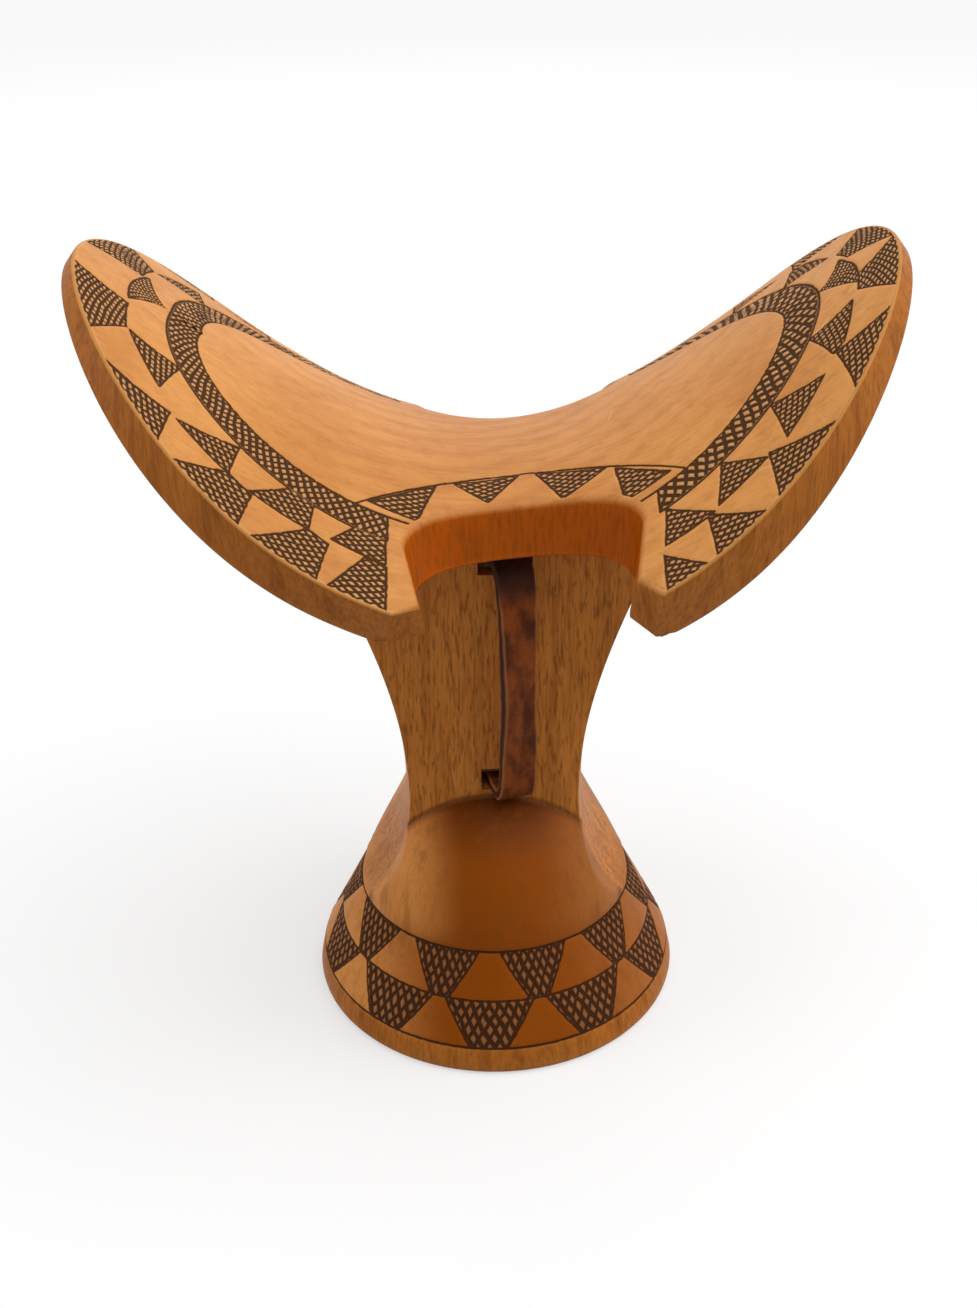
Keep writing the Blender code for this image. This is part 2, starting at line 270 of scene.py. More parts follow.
# Painted shade along the crease where the dome meets the column
PAINTED_CREASE_SHADE_TONE = (66, 31, 6)
WEAR_TONE = (230, 168, 98)
SCRATCH_TONE = (240, 190, 128)
LOW_HATCH_TONE = (146, 96, 58)
TOP_HATCH_TONE = (206, 154, 104)
BURNT_TONE = (54, 29, 12)
WEDGE_TONE = (140, 84, 44)
WEDGE_STREAK_TONE = (84, 46, 22)

# Leather's tones
LEATHER_TONE = (132, 64, 18)
MOTTLE_TONE = (72, 30, 7)
PORE_TONE = (56, 24, 8)
CUT_TONE = (54, 20, 9)
RUBBED_TONE = (190, 126, 74)
# Painted shadow of the saddle on the strap's upper end
SADDLE_SHADOW_TONE = (34, 18, 12)

# Photograph's camera in the stool's frame, in metres and in the photograph's pixels
CAMERA_PLACE = (-0.0022, -0.3357, 0.2838)
CAMERA_FORWARD = (0.0037, 0.8634, -0.5045)
CAMERA_RIGHT = (0.9998, -0.0118, -0.0129)
FOCAL_PIXELS = 1700.0
PHOTO_HEIGHT = 1308.0
SENSOR = 36.0
NEAR_CLIP = 0.01

# Studio, in metres: lamps, floor and surroundings
KEY_PLACE = (0.36, -0.1, 1.0)
KEY_POWER = 2.3
KEY_ANGLE = math.radians(70.0)
SOFTBOXES = (
    ("back", (0.0, 0.9, 0.6), 1.2),
    ("left", (-0.9, -0.15, 0.35), 2.6),
    ("right", (0.9, -0.15, 0.35), 2.0),
)
SOFTBOX_SIZE = 0.7
SOFTBOX_AIM = (0.0, 0.0, 0.1)
WHITE = (1.0, 1.0, 1.0, 1.0)
FLOOR_REACH = 3.0
FLOOR_COLOUR = (0.44, 0.44, 0.44, 1.0)
FLOOR_GLOW = 0.54
SKY_LIGHT = 0.22
SKY_SEEN = 0.97

# On the wood the edge field is painted shade along the dome's crease; on the leather it is the cut edge
FIELDS = ("along", "across", "hatch", "frame", "top", "wall", "notch", "dome", "wear", "edge")


def signed_power(value, power):
    return np.sign(value) * np.abs(value) ** power


def saddle_top(x, y):
    t = x / HALF_SPAN
    rise = TIP_RISE * ((1 + RISE_EASING) * t ** 2 - RISE_EASING * t ** 4)
    return SADDLE_HEIGHT + rise - EDGE_DROP * (y / HALF_DEPTH) ** 2


def saddle_slope(x, y):
    t = x / HALF_SPAN
    slope_x = TIP_RISE * (2 * (1 + RISE_EASING) * t - 4 * RISE_EASING * t ** 3) / HALF_SPAN
    return slope_x, -2 * EDGE_DROP * y / HALF_DEPTH ** 2


def saddle_normal(x, y):
    slope_x, slope_y = saddle_slope(x, y)
    normal = np.stack([-slope_x, -slope_y, np.ones_like(x)], -1)
    return normal / np.linalg.norm(normal, axis=-1, keepdims=True)


def right_share(x):
    """0 on the left wing and 1 on the right one, which is a little larger; eased round the middle."""
    share = np.clip(0.5 + x / WING_BLEND / 2, 0, 1)
    return share * share * (3 - 2 * share)


def saddle_thickness(x, y):
    """Thickness of the saddle, which grows towards the long edges and thins out close to the tips."""
    gain = EDGE_THICKENING + RIGHT_THICKENING * right_share(x)
    full = SADDLE_THICKNESS + gain * (y / HALF_DEPTH) ** 4
    return full - (full - TIP_THICKNESS) * np.abs(x / HALF_SPAN) ** THINNING_POWER


def saddle_point(x, y, depth):
    """Point under the saddle's top, square to its surface; depth is a share of the thickness there."""
    on_top = np.stack([x, y, saddle_top(x, y)], -1)
    return on_top - saddle_normal(x, y) * (saddle_thickness(x, y) * depth)[..., None]


class Shell:
    """Vertices with their surface fields, joined ring by ring into one closed mesh."""

    def __init__(self):
        self.points = []
        self.fields = []
        self.faces = []
        self.count = 0

    def ring(self, points, stations=None, **fields):
        """Add a ring of vertices and return its stations and the numbers of its vertices."""
        points = np.asarray(points, float)
        size = len(points)
        values = np.zeros((size, len(FIELDS)))
        values[:, FIELDS.index("hatch")] = -FAR
        values[:, FIELDS.index("frame")] = -FAR
        for name, value in fields.items():
            values[:, FIELDS.index(name)] = value
        self.points.append(points)
        self.fields.append(values)
        numbers = np.arange(self.count, self.count + size)
        self.count += size
        return (np.arange(size) if stations is None else np.asarray(stations)), numbers

    def join(self, one, other):
        """Bridge two rings, where the stations of the sparser one are also in the denser one."""
        dense, sparse = (one, other) if len(one[0]) >= len(other[0]) else (other, one)
        place = {int(station): k for k, station in enumerate(dense[0])}
        size = len(dense[0])
        for k in range(len(sparse[0])):
            after = (k + 1) % len(sparse[0])
            start, end = place[int(sparse[0][k])], place[int(sparse[0][after])]
            steps = (end - start) % size
            side = [int(dense[1][(start + n) % size]) for n in range(steps + 1)]
            self.faces.append(side + [int(sparse[1][after]), int(sparse[1][k])])

    def chain(self, rings):
        """Bridge rings one after another."""
        for one, other in zip(rings, rings[1:]):
            self.join(one, other)

    def follow(self, last, points, stations=None, **fields):
        """Add a ring, bridge it to the last one and return it."""
        ring = self.ring(points, stations, **fields)
        self.join(last, ring)
        return ring

    def zip(self, one, one_turns, other, other_turns):
        """Bridge two rings of unlike stations by their turns round the middle."""
        i, j = 0, 0
        sizes = len(one_turns), len(other_turns)
        first = list(one_turns) + [one_turns[0] + 2 * math.pi]
        second = list(other_turns) + [other_turns[0] + 2 * math.pi]
        while i < sizes[0] or j < sizes[1]:
            a, b = int(one[1][i % sizes[0]]), int(other[1][j % sizes[1]])
            if j == sizes[1] or (i < sizes[0] and first[i + 1] <= second[j + 1]):
                self.faces.append((a, int(one[1][(i + 1) % sizes[0]]), b))
                i += 1
            else:
                self.faces.append((a, int(other[1][(j + 1) % sizes[1]]), b))
                j += 1

    def cap(self, ring, point, **fields):
        centre = int(self.ring([point], **fields)[1][0])
        numbers = ring[1]
        for k in range(len(numbers)):
            self.faces.append((int(numbers[k]), int(numbers[(k + 1) % len(numbers)]), centre))

    def all_points(self):
        return np.concatenate(self.points)

    def all_fields(self):
        return np.concatenate(self.fields)

    def build(self, name):
        mesh = bpy.data.meshes.new(name)
        mesh.from_pydata((self.all_points() * MM).tolist(), [], self.faces)
        work = bmesh.new()
        work.from_mesh(mesh)
        bmesh.ops.remove_doubles(work, verts=work.verts, dist=WELD * MM)
        bmesh.ops.recalc_face_normals(work, faces=work.faces)
        work.to_mesh(mesh)
        work.free()
        obj = bpy.data.objects.new(name, mesh)
        bpy.context.scene.collection.objects.link(obj)
        return obj


def boolean(target, tool, operation):
    modifier = target.modifiers.new(operation.lower(), "BOOLEAN")
    modifier.operation = operation
    modifier.solver = "MANIFOLD"
    modifier.object = tool
    evaluated = target.evaluated_get(bpy.context.evaluated_depsgraph_get())
    mesh = bpy.data.meshes.new_from_object(evaluated)
    target.modifiers.clear()
    target.data = mesh
    bpy.data.objects.remove(tool)


def polygon_distance(x, y, corners):
    """Distance to a polygon's outline, positive inside."""
    least = np.full(np.shape(x), np.inf)
    inside = np.zeros(np.shape(x), bool)
    for (ax, ay), (bx, by) in zip(corners, corners[1:] + corners[:1]):
        along = np.clip(((x - ax) * (bx - ax) + (y - ay) * (by - ay))
                        / ((bx - ax) ** 2 + (by - ay) ** 2), 0, 1)
        least = np.minimum(least, np.hypot(x - ax - along * (bx - ax), y - ay - along * (by - ay)))
        if ay != by:
            crossed = (ay > y) != (by > y)
            inside ^= crossed & (x < (bx - ax) * (y - ay) / (by - ay) + ax)
    return np.where(inside, least, -least)


def union_distance(x, y, polygons):
    best = np.full(np.shape(x), -FAR)
    for corners in polygons:
        best = np.maximum(best, polygon_distance(x, y, list(corners)))
    return best


def strip_edges(x, run):
    """Distance in from the edge of the hatched strip's outer and inner sides; it swells at the wing's tip."""
    share = np.clip(0.5 + x / STRIP_BLEND, 0, 1)
    edges = []
    for sides in zip(LEFT_STRIP, RIGHT_STRIP):
        left, right = (inset + swell * np.exp(-(run / reach) ** 2) for inset, swell, reach in sides)
        edges.append(left + (right - left) * share)
    return edges


def panel_edge(x, y):
    """Distance from the front panel's curved line, positive in the panel; the back has no panel."""
    line = PANEL_LINE - PANEL_SAG * ((x - PANEL_CENTRE) / PANEL_REACH) ** 2
    return np.where(y < 0, line - y, -FAR)


def notch_clearance(x, y):
    """Distance from the notch's long sides, counted across the saddle; large away from the notches."""
    side = np.abs(x - NOTCH_OFFSET) - NOTCH_TOP_HALF
    return np.where(np.abs(y) > NOTCH_WALL_TOP + NOTCH_MARGIN, side, FAR)


def wing_hatch(x, y, run, inset):
    """Hatched areas of the two rows of triangles and of the strip inside them."""
    outer, inner = strip_edges(x, run)
    from_tip = np.where(y < 0, run, -run)
    wings = [np.maximum(union_distance(run, inset, triangles), union_distance(from_tip, inset, (tip,)))
             for triangles, tip in ((LEFT_TRIANGLES, LEFT_TIP), (RIGHT_TRIANGLES, RIGHT_TIP))]
    hatch = np.where(x < 0, *wings)
    hatch = np.maximum(hatch, np.minimum(inset - outer, inner - inset))
    return np.minimum(hatch, notch_clearance(x, y) - HATCH_TO_NOTCH)


def panel_fields(x, y, inside_strip):
    """Hatched triangles and frame of the panel behind the front notch."""
    frame_edge = np.minimum(panel_edge(x, y), inside_strip)
    hatch = np.minimum(union_distance(x, y, PANEL_TRIANGLES), frame_edge)
    return np.maximum(hatch, -inside_strip), frame_edge


def edge_stations():
    """Plan points at even steps along the saddle's edge, from the middle of the back, and their runs."""
    turn = np.linspace(0.0, 2 * math.pi, OUTLINE_SAMPLES) + math.pi / 2
    x = HALF_SPAN * signed_power(np.cos(turn), 2 / OUTLINE_POWER_X)
    y = (HALF_DEPTH + RIGHT_REACH * right_share(x)) * signed_power(np.sin(turn), 2 / OUTLINE_POWER_Y)
    steps = np.sqrt(np.diff(x) ** 2 + np.diff(y) ** 2 + np.diff(saddle_top(x, y)) ** 2)
    length = np.concatenate([[0.0], np.cumsum(steps)])
    front, whole = length[len(turn) // 2], length[-1]
    count = EDGE_STATIONS // 2
    at = np.concatenate([np.linspace(0.0, front, count, endpoint=False),
                         np.linspace(front, whole, count, endpoint=False)])
    run = np.abs(at - np.where(at < front, front / 2, (front + whole) / 2))
    return np.interp(at, length, x), np.interp(at, length, y), run


def on_top(x, y):
    return saddle_point(x, y, np.zeros_like(x))


def length_along(points):
    """Length of a closed ring of points, from the first one up to each of them."""
    steps = np.linalg.norm(np.roll(points, -1, axis=0) - points, axis=1)
    return np.concatenate([[0.0], np.cumsum(steps)[:-1]])


def inward(x, y):
    """Plan direction that leads in from the saddle's edge, square to it on the surface."""
    edge = on_top(x, y)
    along = np.roll(edge, -1, axis=0) - np.roll(edge, 1, axis=0)
    across = np.cross(saddle_normal(x, y), along)
    size = np.hypot(across[:, 0], across[:, 1])
    return across[:, 0] / size, across[:, 1] / size


def step_in(x, y, direction, distance):
    """Move plan points in along a direction by a distance measured on the saddle's surface."""
    slope_x, slope_y = saddle_slope(x, y)
    climb = slope_x * direction[0] + slope_y * direction[1]
    plan = distance / np.sqrt(1 + climb ** 2)
    return x + direction[0] * plan, y + direction[1] * plan


def row_insets(x, run):
    """Distances in from the edge of the rows of the wings, and which of them lie in the hatched strip."""
    outer, inner = strip_edges(x, run)
    lines = [np.full_like(run, EDGE_ROUND), np.full_like(run, MID_ROW), outer, inner]
    rows, in_strip = [lines[0]], [False]
    for low, high in zip(lines, lines[1:]):
        count = round(float(np.median(high - low)) / ROW_STEP)
        for k in range(1, count + 1):
            rows.append(low + (high - low) * k / count)
            in_strip.append(high is inner)
    return rows, in_strip


def saddle_shell():
    """The saddle's plate: hatched rows round the edge, panel, smooth middle, wall and underside."""
    shell = Shell()
    edge_x, edge_y, run = edge_stations()
    direction = inward(edge_x, edge_y)
    rows, in_strip = row_insets(edge_x, run)
    plans = []
    x, y, at = edge_x, edge_y, np.zeros_like(run)
    for inset in rows:
        x, y = step_in(x, y, direction, inset - at)
        at = inset
        plans.append((x, y))
    outer, inner = strip_edges(edge_x, run)
    edge_run = length_along(on_top(edge_x, edge_y))
    strip_row = len(rows) - sum(in_strip) // 2
    strip_run = length_along(on_top(*plans[strip_row]))
    strip_size = [np.where(edge_x < 0, *sizes) for sizes in zip(LEFT_STRIP_HATCH, RIGHT_STRIP_HATCH)]
    rings = []
    for (x, y), inset, strip in zip(plans, rows, in_strip):
        phases = {"along": edge_run / WING_HATCH[0], "across": inset / WING_HATCH[1]}
        if strip:
            phases = {"along": strip_run / strip_size[0], "across": (inset - outer) / strip_size[1]}
        rings.append(shell.ring(on_top(x, y), top=1.0, hatch=wing_hatch(x, y, run, inset),
                                frame=np.maximum(np.minimum(panel_edge(x, y), inset - inner), -FAR),
                                wear=np.clip(1 - (inset - EDGE_ROUND) / WEAR_WIDTH, 0, 1), **phases))
    shell.chain(rings)
    middle_rings(shell, rings[-1], x, y)
    wall = outer_wall(shell, rings[0], edge_x, edge_y, direction)
    underside(shell, wall, edge_x, edge_y, direction)
    return shell


def medial_x(x):
    """Where on the saddle's middle line the columns of the smooth middle end."""
    beyond = np.maximum(np.abs(x) - MEDIAL_STRAIGHT, 0)
    return np.sign(x) * np.minimum(np.abs(x), MEDIAL_STRAIGHT + MEDIAL_EASING * beyond)


def middle_rings(shell, border, x, y):
    """From the strip's inner side to the middle line, fine where the panel lies."""
    every = np.arange(EDGE_STATIONS)
    keep = every[((x > PANEL_LEFT) & (x < PANEL_RIGHT)) | (every % 4 == 0)]
    start_x, start_y = x[keep], y[keep]
    fine = ROW_STEP / float(np.abs(y).max())
    last = border
    for share in (*np.arange(fine, FINE_UP_TO, fine), *COARSE_SHARES):
        px = start_x + (medial_x(start_x) - start_x) * share
        py = start_y * (1 - share)
        hatch, frame_edge = panel_fields(px, py, np.hypot(px - start_x, py - start_y))
        last = shell.follow(last, on_top(px, py), keep, top=1.0, hatch=hatch,
                            frame=np.maximum(frame_edge, -FAR),
                            along=px / WING_HATCH[0], across=np.abs(py) / WING_HATCH[1])


def outer_wall(shell, border, edge_x, edge_y, direction):
    """Rounded upper edge, wall and rounded lower edge of the plate, from every second station."""
    chosen = np.arange(0, EDGE_STATIONS, 2)
    x, y, inward_x, inward_y = (values[chosen] for values in (edge_x, edge_y, *direction))
    slope_x, slope_y = saddle_slope(x, y)
    along = np.stack([inward_x, inward_y, slope_x * inward_x + slope_y * inward_y], -1)
    along /= np.linalg.norm(along, axis=-1, keepdims=True)
    normal = saddle_normal(x, y)
    thickness = saddle_thickness(x, y)[:, None]
    corner = on_top(x, y)
    last = border
    for in_shift, depth_share, depth_shift, worn in wall_rows():
        points = corner + along * in_shift - normal * (thickness * depth_share + depth_shift)
        last = shell.follow(last, points, chosen, wall=1.0, wear=worn)
    return last


def underside(shell, border, edge_x, edge_y, direction):
    """Underside of the plate in to its middle line, from every fourth station."""
    chosen = np.arange(0, EDGE_STATIONS, 4)
    x, y, *inwards = (values[chosen] for values in (edge_x, edge_y, *direction))
    last, at = border, 0.0
    for inset in UNDERSIDE_INSETS:
        x, y = step_in(x, y, inwards, inset - at)
        at = inset
        last = shell.follow(last, saddle_point(x, y, np.ones_like(x)), chosen, wall=UNDERSIDE_WALL)
    for share in UNDERSIDE_SHARES:
        px = x + (medial_x(x) - x) * share
        py = y * (1 - share)
        last = shell.follow(last, saddle_point(px, py, np.ones_like(px)), chosen, wall=UNDERSIDE_WALL)


def wall_rows():
    """Steps down the wall: shift in from the edge, share of the thickness, further depth, and wear."""
    rows = []
    for turn in EDGE_TURNS:
        a = math.radians(turn)
        worn = 1.0 if turn < EDGE_TURNS[-1] else 0.0
        rows.append((EDGE_ROUND * (1 - math.sin(a)), 0.0, EDGE_ROUND * (1 - math.cos(a)), worn))
    for share in WALL_SHARES:
        rows.append((0.0, share, EDGE_ROUND * (1 - 2 * share), 0.0))
    for turn in LOWER_EDGE_TURNS:
        a = math.radians(turn)
        rows.append((EDGE_ROUND * (1 - math.cos(a)), 1.0, -EDGE_ROUND * (1 - math.sin(a)), 0.0))
    return rows


def smooth_max(a, b, width):
    return 0.5 * (a + b + np.sqrt((a - b) ** 2 + width ** 2))


def dome_radius(z):
    share = min((z - BAND_TOP_HEIGHT) / DOME_RISE, 1.0)
    return BAND_TOP_RADIUS * math.sqrt(1 - share ** 2)


def scoop_half_width(z):
    share = (z - BAND_TOP_HEIGHT) / (WAIST_HEIGHT - BAND_TOP_HEIGHT)
    return WAIST_HALF + (BAND_TOP_RADIUS - WAIST_HALF) * (1 - share) ** SCOOP_POWER


def section(radius, half_width, slab):
    """Plan section of the dome and column, as the CAD solid has it, with more points."""
    side = half_width - FLANK_BULGE
    corner_y = max(FACE_Y, math.sqrt(max(radius ** 2 - side ** 2, 0.0)))

    def round_at(offset):
        return np.sqrt(np.maximum(radius ** 2 - offset ** 2, 0.0))

    def flank_at(y):
        bulging = side + FLANK_BULGE * (1 - (y / corner_y) ** 2)
        return bulging if slab else np.minimum(bulging, round_at(y))

    corner_x = float(flank_at(np.array(corner_y)))
    spread = math.atan2(corner_x, corner_y)
    x = corner_x * np.sin(spread * (2 * np.arange(SECTION_FRONT) / SECTION_FRONT - 1)) / math.sin(spread)
    front = -smooth_max(FACE_Y, round_at(x), CREASE) if slab else -round_at(x)
    y = corner_y * (2 * np.arange(SECTION_FLANK) / SECTION_FLANK - 1)
    half = np.concatenate([np.stack([x, front], -1), np.stack([flank_at(y), y], -1)])
    return np.concatenate([half, -half])


def band_radius(share):
    return BAND_LOW_RADIUS + (BAND_TOP_RADIUS - BAND_LOW_RADIUS) * share


def foot_fields(turns, share):
    """Hatched cells of the foot's two rows, and the distance from the band's two lines."""
    cell = 2 * math.pi * band_radius(share) / FOOT_CELLS
    height = share * BAND_SLANT
    middle = FOOT_MID * BAND_SLANT
    place = (turns - FOOT_TURN) / (2 * math.pi) * FOOT_CELLS
    best = np.full_like(turns, -FAR)
    rows = ((0.5, UPPER_HATCH, middle, BAND_SLANT), (0.0, LOWER_HATCH, 0.0, middle))
    for offset, (low, high), bottom, top in rows:
        across = place - offset
        across = np.abs(across - np.round(across)) * cell
        span = (high - low) * cell / (top - bottom)
        half = low * cell + (height - bottom) * span
        beside = (half - across) / math.sqrt(1 + span ** 2)
        best = np.maximum(best, np.minimum(beside, min(height - bottom, top - height)))
    return best, min(height, BAND_SLANT - height)


def body_shell():
    """Foot, dome and column, up into the middle of the saddle's thickness."""
    shell = Shell()
    slab_height = BAND_TOP_HEIGHT + SLAB_START * (WAIST_HEIGHT - BAND_TOP_HEIGHT)
    dome = [section(dome_radius(z), scoop_half_width(z), z > slab_height) for z in dome_heights()]
    section_turns = np.unwrap(np.arctan2(dome[0][:, 1], dome[0][:, 0]))
    stations = np.arange(FOOT_STATIONS)
    turns = section_turns[0] + 2 * math.pi * stations / FOOT_STATIONS
    circle = np.stack([np.cos(turns), np.sin(turns)], -1)
    rings = []
    for turn in np.radians(RIM_TURNS):
        radius = FOOT_RADIUS - RIM_ROUND * (1 - math.sin(turn))
        z = RIM_ROUND * (1 - math.cos(turn))
        rings.append(shell.ring(with_height(circle * radius, z), wear=RIM_WEAR * math.sin(turn), wall=1.0))
    for z in RIM_HEIGHTS:
        radius = FOOT_RADIUS - RIM_TAPER * (z - RIM_ROUND) / (RIM_HEIGHT - RIM_ROUND)
        rings.append(shell.ring(with_height(circle * radius, z), frame=z - RIM_HEIGHT, wall=1.0))
    for k in range(BAND_ROWS + 1):
        share = k / BAND_ROWS
        hatch, lines = foot_fields(turns, share)
        z = RIM_HEIGHT + (BAND_TOP_HEIGHT - RIM_HEIGHT) * share
        rings.append(shell.ring(with_height(circle * band_radius(share), z), hatch=hatch, frame=lines,
                                dome=1.0, along=stations / FOOT_STATIONS * FOOT_HATCH_COUNT,
                                across=share * BAND_SLANT / FOOT_HATCH_HEIGHT))
    shell.chain(rings)
    shell.cap(rings[0], (0.0, 0.0, 0.0))
    upper = []
    for z, plan in list(zip(dome_heights(), dome))[1:]:
        out = np.abs(plan[:, 1])
        swell = np.clip(np.maximum(out - FACE_Y, 1.0 - (z - BAND_TOP_HEIGHT) / DOME_BLEND), 0, 1)
        bulge = np.sqrt(np.maximum(dome_radius(z) ** 2 - plan[:, 0] ** 2, 0.0)) - FACE_Y
        # Painted shade along the crease where the dome meets the column's face, kept in the edge field
        crease = np.clip(1 - np.abs(bulge) / CREASE_SHADE, 0, 1) * (out > FACE_Y - CREASE_MARGIN)
        upper.append(shell.ring(with_height(plan, z), frame=max(-FAR, BAND_TOP_HEIGHT - z), dome=swell,
                                edge=crease))
    shell.zip(rings[-1], turns, upper[0], section_turns)
    upper += flare_rings(shell)
    shell.chain(upper)
    shell.cap(upper[-1], (0.0, 0.0, float(SADDLE_HEIGHT - SADDLE_THICKNESS / 2)))
    return shell


def dome_heights():
    """Heights of the dome's rings, closer together towards its top."""
    shares = 1 - (1 - np.linspace(0.0, 1.0, DOME_RINGS)) ** DOME_CROWDING
    return BAND_TOP_HEIGHT + (WAIST_HEIGHT - BAND_TOP_HEIGHT) * shares


def with_height(plan, z):
    """Plan points at one height, or each at its own."""
    return np.column_stack([plan, np.broadcast_to(z, len(plan))])


def flare_rings(shell):
    """The column from its waist up into the saddle, where it is closed."""
    rings = []
    for share in np.linspace(0.0, 1.0, FLARE_RINGS + 1)[1:]:
        half_width = WAIST_HALF + FLANK_FLARE * share ** FLARE_POWER
        rings.append(shell.ring(flare_points(section(0.0, half_width, True), share)))
    rim = section(0.0, WAIST_HALF + FLANK_FLARE, True)
    for share in CAP_SHARES:
        rings.append(shell.ring(flare_points(rim * share, 1.0)))
    return rings


def flare_points(plan, share):
    middle = saddle_top(plan[:, 0], plan[:, 1]) - saddle_thickness(plan[:, 0], plan[:, 1]) / 2
    return with_height(plan, WAIST_HEIGHT + share * (middle - WAIST_HEIGHT))


def mouth_depth(share):
    """Where a notch's mouth starts to open, at a share of the saddle's thickness from above."""
    return HALF_DEPTH - MOUTH_CHAMFER_DEPTH - MOUTH_UNDERCUT * share


def notch_outline(share, widen):
    """Plan outline of a notch at a share of the saddle's thickness from below, widened by the lip."""
    half = NOTCH_BOTTOM_HALF + (NOTCH_TOP_HALF - NOTCH_BOTTOM_HALF) * share + widen
    wall = NOTCH_WALL_BOTTOM + (NOTCH_WALL_TOP - NOTCH_WALL_BOTTOM) * share - widen
    mouth = mouth_depth(1 - share)
    outside = HALF_DEPTH + SADDLE_THICKNESS
    curve = np.linspace(0.0, math.pi, NOTCH_CURVE)
    end = np.stack([half * np.cos(curve), wall + NOTCH_ROUNDING * (1 - np.sin(curve))], -1)
    side = np.linspace(wall + NOTCH_ROUNDING, mouth, NOTCH_SIDE)[1:]
    narrowing = (side - wall - NOTCH_ROUNDING) / (mouth - wall - NOTCH_ROUNDING)
    left = np.stack([LEFT_NARROWING * narrowing - half, side], -1)
    right = np.stack([half - RIGHT_NARROWING * narrowing, side], -1)[::-1]
    outer = np.array([(LEFT_NARROWING - half - LEFT_CHAMFER_SLOPE * (outside - mouth), outside),
                      (half - RIGHT_NARROWING + RIGHT_CHAMFER_SLOPE * (outside - mouth), outside)])
    plan = np.concatenate([end, left, outer, right[:-1]])
    plan[:, 0] += NOTCH_OFFSET
    return plan


def mouth_bevel(plan, share, widen):
    """Shift of a notch's sides where the horns' lower corners are worn off, at its mouth."""
    low = max(share - BEVEL_START, 0.0) / (1 - BEVEL_START)
    shift = MOUTH_BEVEL * low ** BEVEL_POWER
    if share == 1.0:
        shift += MOUTH_FEATHER * widen / LOWER_LIP
    near_mouth = np.clip((plan[:, 1] - HALF_DEPTH) / BEVEL_REACH + 1, 0, 1)
    return np.sign(plan[:, 0] - NOTCH_OFFSET) * shift * near_mouth


def notch_shell(front):
    """Cutter of one notch, with soft lips above and below; front is -1 or, at the back, 1."""
    shell = Shell()
    levels = []
    for turn in np.radians(LIP_TURNS):
        levels.append((0.0, NOTCH_LIP * (1 - math.cos(turn)), NOTCH_LIP * (1 - math.sin(turn))))
    levels += [(share, 0.0, 0.0) for share in NOTCH_SHARES]
    for turn in np.radians(LIP_TURNS[::-1]):
        levels.append((1.0, -LOWER_LIP * (1 - math.cos(turn)), LOWER_LIP * (1 - math.sin(turn))))
    levels.append((1.0, LOWER_LIP, 2 * LOWER_LIP))
    rings = []
    for share, depth, widen in levels:
        plan = notch_outline(1 - share, widen)
        plan[:, 0] += mouth_bevel(plan, share, widen)
        plan[:, 1] *= front
        x, y = plan.T
        upright = saddle_thickness(x, y) / saddle_normal(x, y)[:, 2]
        height = saddle_top(x, y) - share * upright - depth
        sunk = 1.0 if share else min(depth / NOTCH_LIP, 1.0)
        facet = np.clip((np.abs(y) - mouth_depth(share)) / FACET_BLEND + 1, 0, 1)
        rings.append(shell.ring(with_height(plan, height), top=1.0 - sunk, notch=sunk * (1 - facet),
                                wall=sunk * facet))
    high_plan, low_plan = shell.points[0][:, :2], shell.points[-1][:, :2]
    high = shell.ring(with_height(high_plan, SADDLE_HEIGHT + TIP_RISE), top=1.0)
    low = shell.ring(with_height(low_plan, WAIST_HEIGHT + FLANK_FLARE), notch=1.0)
    rings = [high] + rings + [low]
    shell.chain(rings)
    middle = (NOTCH_OFFSET, front * HALF_DEPTH)
    shell.cap(high, (*middle, SADDLE_HEIGHT + TIP_RISE))
    shell.cap(low, (*middle, WAIST_HEIGHT + FLANK_FLARE))
    return shell


def slot_shell(z, inward_side):
    """Cutter of one strap slot; the wedge lies on the inward side of the strap's end."""
    near = z - inward_side * (STRAP_THICKNESS / 2 + FIT_GAP)
    low, high = sorted((near, near + inward_side * SLOT_HEIGHT))
    shell = Shell()
    x0, x1 = STRAP_OFFSET - SLOT_HALF_WIDTH, STRAP_OFFSET + SLOT_HALF_WIDTH
    y0, y1 = -FACE_Y - SLOT_DEPTH, -FACE_Y + SLOT_DEPTH
    rings = [shell.ring([(x0, y0, h), (x1, y0, h), (x1, y1, h), (x0, y1, h)]) for h in (low, high)]
    shell.join(rings[0], rings[1])
    for ring, h in zip(rings, (low, high)):
        shell.cap(ring, ((x0 + x1) / 2, (y0 + y1) / 2, h))
    return shell


def nearest_fields(mesh, shells):
    """Fields of each vertex, taken from the nearest vertex of the shells that the mesh was made from."""
    points = np.concatenate([shell.all_points() for shell in shells]) * MM
    fields = np.concatenate([shell.all_fields() for shell in shells])
    tree = KDTree(len(points))
    for k, point in enumerate(points):
        tree.insert(point, k)
    tree.balance()
    numbers = [tree.find(vertex.co)[1] for vertex in mesh.vertices]
    return fields[numbers]


def carve(mesh, fields):
    """Sink the burnt lines and the hatching into the surface."""
    along, across, hatch, frame_edge = (fields[:, k] for k in range(4))
    cross = np.maximum(np.cos(2 * math.pi * (along + across)), np.cos(2 * math.pi * (along - across)))
    inside = np.clip((hatch - HATCH_MARGIN) / HATCH_FADE, 0, 1)
    depth = HATCH_DEPTH * inside * (0.5 + 0.5 * cross)
    for edge in (hatch, frame_edge):
        depth = np.maximum(depth, GROOVE_DEPTH * np.clip(1 - np.abs(edge) / GROOVE_HALF, 0, 1))
    count = len(mesh.vertices)
    places = np.empty(count * 3)
    normals = np.empty(count * 3)
    mesh.vertices.foreach_get("co", places)
    mesh.vertex_normals.foreach_get("vector", normals)
    places = places.reshape(-1, 3) - normals.reshape(-1, 3) * (depth * MM)[:, None]
    mesh.vertices.foreach_set("co", places.ravel())
    mesh.update()


